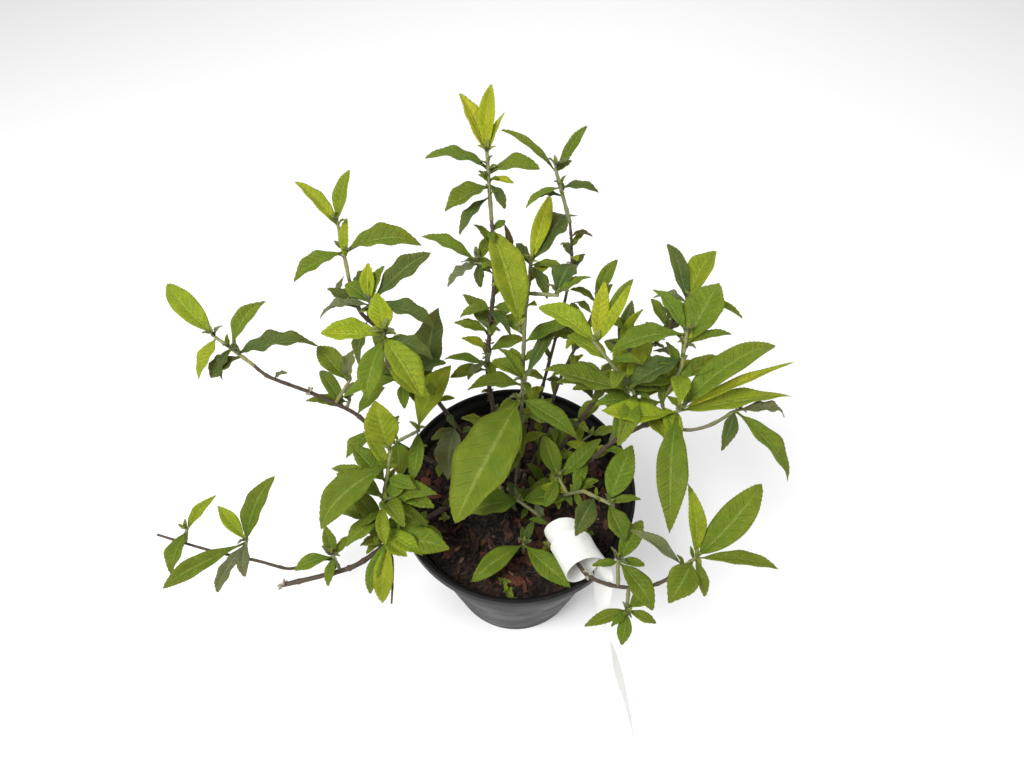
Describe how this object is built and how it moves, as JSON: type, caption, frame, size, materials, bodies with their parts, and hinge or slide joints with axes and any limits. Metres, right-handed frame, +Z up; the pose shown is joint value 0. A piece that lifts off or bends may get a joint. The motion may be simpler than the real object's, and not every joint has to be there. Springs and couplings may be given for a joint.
{
  "type": "potted butterfly bush",
  "caption": "Young butterfly bush with woody stems and lance-shaped leaves in a round nursery pot, with a blank loop label.",
  "frame": {"origin": "middle of the flat pad under the pot, on the surface that the pot stands on", "axes": "+Z up the pot's axis, +Y to the plant's back, +X to the plant's right as seen from its front"},
  "size_m": [0.4067, 0.2952, 0.3821],
  "materials": {
    "leaf": "soft matt leaf, yellow green when young and grey green when old",
    "green_stem": "soft matt green shoot",
    "bark": "rough thin bark",
    "soil": "damp peat with bark chips",
    "pot_plastic": "satin moulded plastic",
    "label_plastic": "smooth white film"
  },
  "bodies": {
    "root": {"plant_label": "label_plastic", "pot": "pot_plastic", "potting_soil": "soil", "shoot_back_right_tip": "leaf", "shoot_back_tip": "leaf", "shoot_centre_great_leaf": "leaf", "shoot_centre_middle": "leaf", "shoot_centre_side": "leaf", "shoot_centre_tip": "leaf", "shoot_centre_upper": "leaf", "shoot_crown_left": "leaf", "shoot_crown_middle": "leaf", "shoot_front_right_lower": "leaf", "shoot_front_right_side": "leaf", "shoot_front_right_tip": "leaf", "shoot_front_seedling": "leaf", "shoot_left_far_side": "leaf", "shoot_left_far_tip": "leaf", "shoot_left_far_upper": "leaf", "shoot_left_high_lower": "leaf", "shoot_left_high_side": "leaf", "shoot_left_high_tip": "leaf", "shoot_left_inner_tip": "leaf", "shoot_left_low_side": "leaf", "shoot_left_side_lower": "leaf", "shoot_left_side_middle": "leaf", "shoot_left_side_tip": "leaf", "shoot_left_trailing_side": "leaf", "shoot_left_trailing_tip": "leaf", "shoot_pot_right_side": "leaf", "shoot_pot_right_tip": "leaf", "shoot_right_high_side": "leaf", "shoot_right_high_tip": "leaf", "shoot_right_inner_leaf": "leaf", "shoot_right_inner_tip": "leaf", "shoot_right_tip_main": "leaf", "shoot_right_tip_outer": "leaf", "shoot_right_up_tip": "leaf", "shoot_tall_lower": "leaf", "shoot_tall_middle": "leaf", "shoot_tall_tip": "leaf", "shoot_tall_upper": "leaf", "stem_back": "bark", "stem_back_right": "bark", "stem_centre": "green_stem", "stem_front_right": "bark", "stem_left_far": "bark", "stem_left_high": "bark", "stem_left_inner": "green_stem", "stem_left_low": "bark", "stem_left_side": "green_stem", "stem_left_trailing": "bark", "stem_left_twig": "bark", "stem_pot_right": "green_stem", "stem_right": "bark", "stem_right_high": "bark", "stem_right_inner": "green_stem", "stem_right_tip": "green_stem", "stem_right_up": "green_stem", "stem_tall": "bark"}
  },
  "joints": []
}
